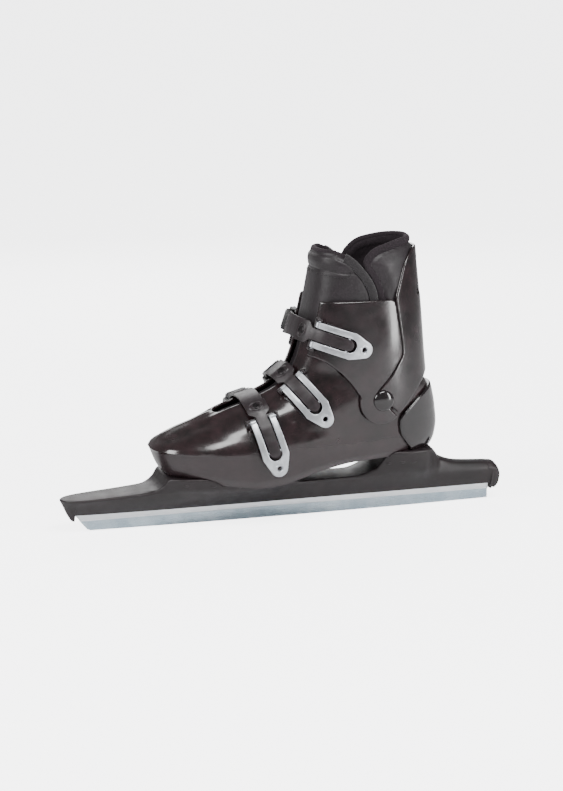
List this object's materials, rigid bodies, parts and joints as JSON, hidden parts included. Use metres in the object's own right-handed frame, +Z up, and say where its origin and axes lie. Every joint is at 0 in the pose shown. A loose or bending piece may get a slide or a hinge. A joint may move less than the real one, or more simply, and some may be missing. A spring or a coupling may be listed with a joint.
{
  "type": "speed skate",
  "caption": "Left speed skate: hard boot shell with hinged cuff and spoiler, soft liner, over-centre buckles with ladder straps, and a long plastic blade holder with a steel runner.",
  "frame": {"origin": "on the flat middle of the running edge, in the skate's centre plane, midway between the tip of the blade holder and its rear cap; Z 0 is the ice or floor it stands on", "axes": "+X towards the heel, so the toe points to -X; +Z up; the buckle side, lateral on this left skate, faces -Y"},
  "size_m": [0.443, 0.1124, 0.2709],
  "materials": {
    "blade_steel": "ground and polished",
    "rail_alloy": "bright extruded",
    "holder_plastic": "moulded, fine grain",
    "shell_plastic": "moulded, half gloss",
    "cuff_plastic": "moulded, gloss",
    "liner_leather": "smooth synthetic leather over foam",
    "footbed_felt": "needled felt",
    "fork_alloy": "satin cast",
    "strap_plastic": "moulded, satin",
    "catch_plastic": "moulded",
    "zinc_steel": "zinc plated"
  },
  "bodies": {
    "boot": {"runner": "blade_steel", "blade_rail": "rail_alloy", "blade_holder": "holder_plastic", "heel_end_cap": "holder_plastic", "front_bolt": "zinc_steel", "ball_bolt": "zinc_steel", "heel_front_bolt": "zinc_steel", "heel_rear_bolt": "zinc_steel", "lower_shell": "shell_plastic", "liner_foot": "liner_leather", "insole": "footbed_felt", "ankle_rivet_lateral": "shell_plastic", "ankle_rivet_medial": "shell_plastic", "toe_buckle_base": "strap_plastic", "toe_base_rivet": "zinc_steel", "toe_hinge_pin_toe_side": "zinc_steel", "toe_hinge_pin_heel_side": "zinc_steel", "toe_catch_body": "catch_plastic", "toe_catch_pin": "zinc_steel", "toe_catch_rivet": "zinc_steel", "instep_buckle_base": "strap_plastic", "instep_base_rivet": "zinc_steel", "instep_hinge_pin_toe_side": "zinc_steel", "instep_hinge_pin_heel_side": "zinc_steel", "instep_catch_body": "catch_plastic", "instep_catch_pin": "zinc_steel", "instep_catch_rivet": "zinc_steel"},
    "ankle_cuff": {"cuff": "cuff_plastic", "spoiler": "cuff_plastic", "liner_collar": "liner_leather", "liner_tongue": "liner_leather", "cuff_buckle_base": "strap_plastic", "cuff_base_rivet": "zinc_steel", "cuff_hinge_pin_toe_side": "zinc_steel", "cuff_hinge_pin_heel_side": "zinc_steel", "cuff_catch_body": "catch_plastic", "cuff_catch_pin": "zinc_steel", "cuff_catch_rivet": "zinc_steel"},
    "toe_lever": {"toe_fork": "fork_alloy", "toe_link_pin": "zinc_steel"},
    "toe_strap": {"toe_strap_link": "strap_plastic", "toe_ladder_strap": "strap_plastic", "toe_strap_screw": "zinc_steel"},
    "toe_pawl": {"toe_catch_cam": "catch_plastic"},
    "instep_lever": {"instep_fork": "fork_alloy", "instep_link_pin": "zinc_steel"},
    "instep_strap": {"instep_strap_link": "strap_plastic", "instep_ladder_strap": "strap_plastic", "instep_strap_screw": "zinc_steel"},
    "instep_pawl": {"instep_catch_cam": "catch_plastic"},
    "cuff_lever": {"cuff_fork": "fork_alloy", "cuff_link_pin": "zinc_steel"},
    "cuff_strap": {"cuff_strap_link": "strap_plastic", "cuff_ladder_strap": "strap_plastic", "cuff_strap_screw": "zinc_steel"},
    "cuff_pawl": {"cuff_catch_cam": "catch_plastic"}
  },
  "joints": [
    {"name": "cuff_flex", "type": "hinge", "parent": "boot", "child": "ankle_cuff", "pos_m": [0.0825, 0, 0.118], "axis": [0, -1, 0], "range_deg": [0, 5]},
    {"name": "toe_lever_hinge", "type": "hinge", "parent": "boot", "child": "toe_lever", "pos_m": [-0.0364, -0.04356, 0.10694], "axis": [-0.9635, 0, -0.2676], "range_deg": [0, 80]},
    {"name": "toe_strap_hinge", "type": "hinge", "parent": "toe_lever", "child": "toe_strap", "pos_m": [-0.0285, -0.05604, 0.07849], "axis": [-0.9635, 0, -0.2676], "range_deg": [-88.5, 0]},
    {"name": "toe_pawl_hinge", "type": "hinge", "parent": "boot", "child": "toe_pawl", "pos_m": [-0.03673, 0.04868, 0.10813], "axis": [-0.9635, 0, -0.2676], "range_deg": [0, 30], "stiffness_Nm_per_rad": 0.02, "springref_deg": -11.46},
    {"name": "instep_lever_hinge", "type": "hinge", "parent": "boot", "child": "instep_lever", "pos_m": [-0.00368, -0.02845, 0.13861], "axis": [-0.7827, 0, -0.6224], "range_deg": [0, 72]},
    {"name": "instep_strap_hinge", "type": "hinge", "parent": "instep_lever", "child": "instep_strap", "pos_m": [0.01298, -0.04606, 0.11766], "axis": [-0.7827, 0, -0.6224], "range_deg": [-79.7, 0]},
    {"name": "instep_pawl_hinge", "type": "hinge", "parent": "boot", "child": "instep_pawl", "pos_m": [0.00251, 0.04704, 0.13082], "axis": [-0.7827, 0, -0.6224], "range_deg": [0, 30], "stiffness_Nm_per_rad": 0.02, "springref_deg": -11.46},
    {"name": "cuff_lever_hinge", "type": "hinge", "parent": "ankle_cuff", "child": "cuff_lever", "pos_m": [0.01647, -0.03889, 0.184], "axis": [-0.3134, 0, -0.9496], "range_deg": [0, 80]},
    {"name": "cuff_strap_hinge", "type": "hinge", "parent": "cuff_lever", "child": "cuff_strap", "pos_m": [0.0443, -0.05188, 0.17482], "axis": [-0.3134, 0, -0.9496], "range_deg": [-88.5, 0]},
    {"name": "cuff_pawl_hinge", "type": "hinge", "parent": "ankle_cuff", "child": "cuff_pawl", "pos_m": [0.01887, 0.04713, 0.18321], "axis": [-0.3134, 0, -0.9496], "range_deg": [0, 30], "stiffness_Nm_per_rad": 0.02, "springref_deg": -11.46}
  ],
  "couplings": [
    {"joint": "toe_strap_hinge", "follows": "toe_lever_hinge", "ratio": -1.1},
    {"joint": "instep_strap_hinge", "follows": "instep_lever_hinge", "ratio": -1.1},
    {"joint": "cuff_strap_hinge", "follows": "cuff_lever_hinge", "ratio": -1.1}
  ]
}
